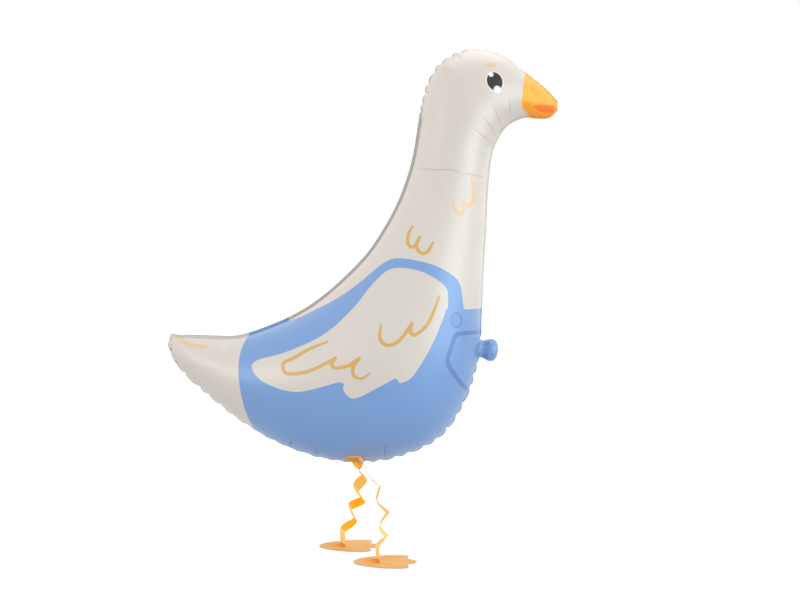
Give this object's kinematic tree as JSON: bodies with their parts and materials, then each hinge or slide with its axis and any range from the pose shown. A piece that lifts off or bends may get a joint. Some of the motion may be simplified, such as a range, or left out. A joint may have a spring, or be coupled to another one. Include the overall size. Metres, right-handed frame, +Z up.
{
  "type": "goose foil balloon",
  "caption": "Walking foil balloon shaped like a standing goose in plain blue dungarees, with pleated strip legs and flat card feet.",
  "frame": {"origin": "on the floor, under the middle of the balloon's length, in the plane of its seam", "axes": "+X the way the goose faces, +Y towards its left side, +Z up"},
  "size_m": [0.7519, 0.2518, 0.9735],
  "materials": {
    "printed_foil": "satin pearl foil film, printed",
    "leg_strip": "pleated coloured paper with a slight sheen",
    "foot_card": "smooth coated card"
  },
  "bodies": {
    "root": {"foil_bag": "printed_foil", "right_leg_strip": "leg_strip", "left_leg_strip": "leg_strip", "right_foot": "foot_card", "left_foot": "foot_card"}
  },
  "joints": []
}
